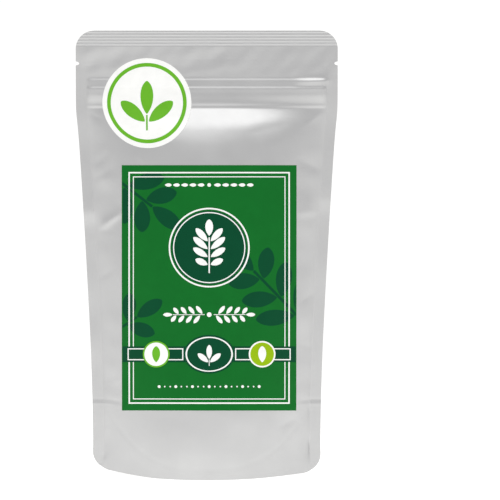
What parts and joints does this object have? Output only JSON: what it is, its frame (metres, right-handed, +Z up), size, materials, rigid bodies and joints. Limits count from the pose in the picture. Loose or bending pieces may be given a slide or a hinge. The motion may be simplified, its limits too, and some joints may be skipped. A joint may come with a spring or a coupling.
{
  "type": "stand-up pouch",
  "caption": "Filled, sealed stand-up pouch of silver foil laminate with folded base, press-to-close zip, ribbed top seal, tear notches, green front label and round sticker.",
  "frame": {"origin": "on the ground under the middle of the pouch", "axes": "+Z up, the front with the label towards -Y, +X to the right as seen from the front"},
  "size_m": [0.2, 0.0862, 0.3401],
  "materials": {
    "foil_laminate": "satin metallised laminate film",
    "zip_polyethylene": "translucent white, extruded",
    "label": "printed green, satin varnish",
    "sticker": "printed white and green, satin varnish",
    "dried_parsley": "dull, rubbed dry leaf"
  },
  "bodies": {
    "root": {"front_panel": "foil_laminate", "back_panel": "foil_laminate", "bottom_gusset": "foil_laminate", "zip_groove_strip": "zip_polyethylene", "zip_ridge_strip": "zip_polyethylene", "front_label": "label", "round_sticker": "sticker", "dried_parsley": "dried_parsley"}
  },
  "joints": []
}
